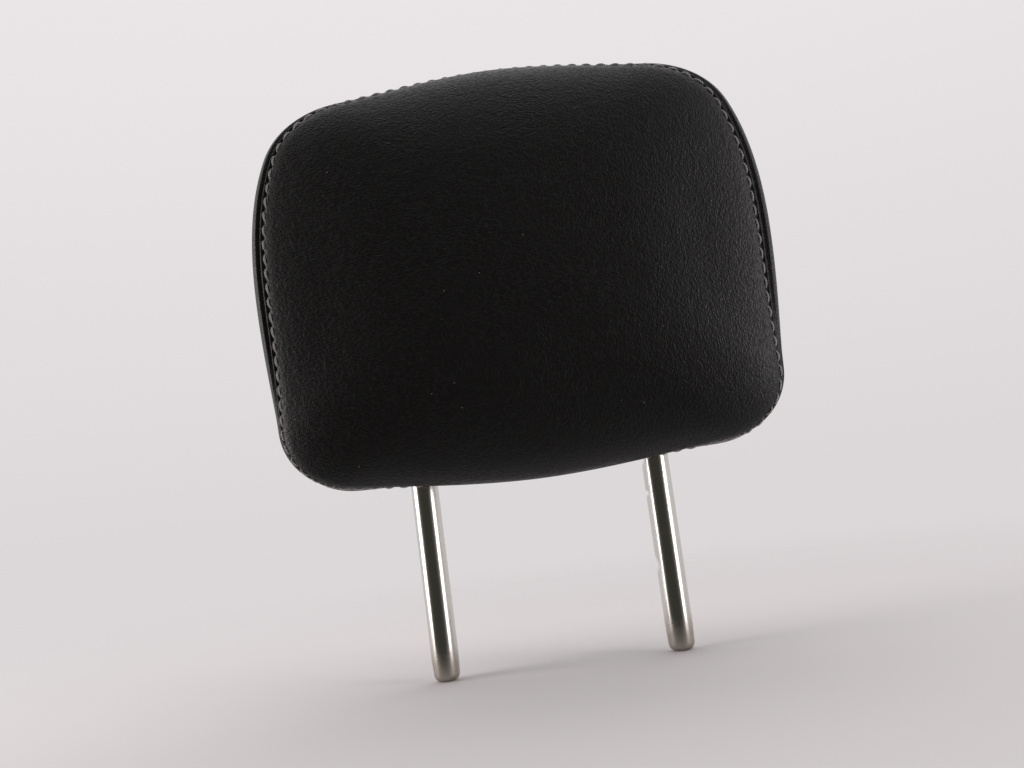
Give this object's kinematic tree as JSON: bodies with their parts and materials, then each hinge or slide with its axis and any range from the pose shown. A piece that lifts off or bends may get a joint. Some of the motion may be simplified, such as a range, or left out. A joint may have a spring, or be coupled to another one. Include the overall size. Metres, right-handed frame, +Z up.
{
  "type": "car headrest",
  "caption": "Leather-covered car headrest: a sewn cushion over a foam bun and clamped core, on a bent steel tube whose two notched legs drop into the seat back.",
  "frame": {"origin": "midway between the flat ends of the two legs' tips, on the plane of the legs' axes", "axes": "+Z up along the legs, +X across the car to the viewer's right of someone looking at the cushion's face, and the face looks towards -Y"},
  "size_m": [0.2558, 0.103, 0.3061],
  "materials": {
    "bright_steel": "bright plated steel tube, satin at the swaged tips",
    "leather": "near-black leather with a fine pebble grain and a low sheen",
    "thread": "matt grey bonded sewing thread",
    "trim_resin": "moulded, fine matt",
    "foam": "open-cell moulded foam",
    "core_resin": "moulded, plain",
    "screw_steel": "zinc plated"
  },
  "bodies": {
    "root": {"leg_frame": "bright_steel", "face_panel": "leather", "boxing_strip": "leather", "bottom_panel": "leather", "back_panel": "leather", "face_topstitch": "thread", "front_closure_strip": "trim_resin", "rear_closure_strip": "trim_resin", "left_grommet": "trim_resin", "right_grommet": "trim_resin", "foam_bun": "foam", "core_front_half": "core_resin", "core_rear_half": "core_resin", "core_screw_1": "screw_steel", "core_screw_2": "screw_steel", "core_screw_3": "screw_steel", "core_screw_4": "screw_steel", "core_screw_5": "screw_steel", "core_screw_6": "screw_steel"}
  },
  "joints": []
}
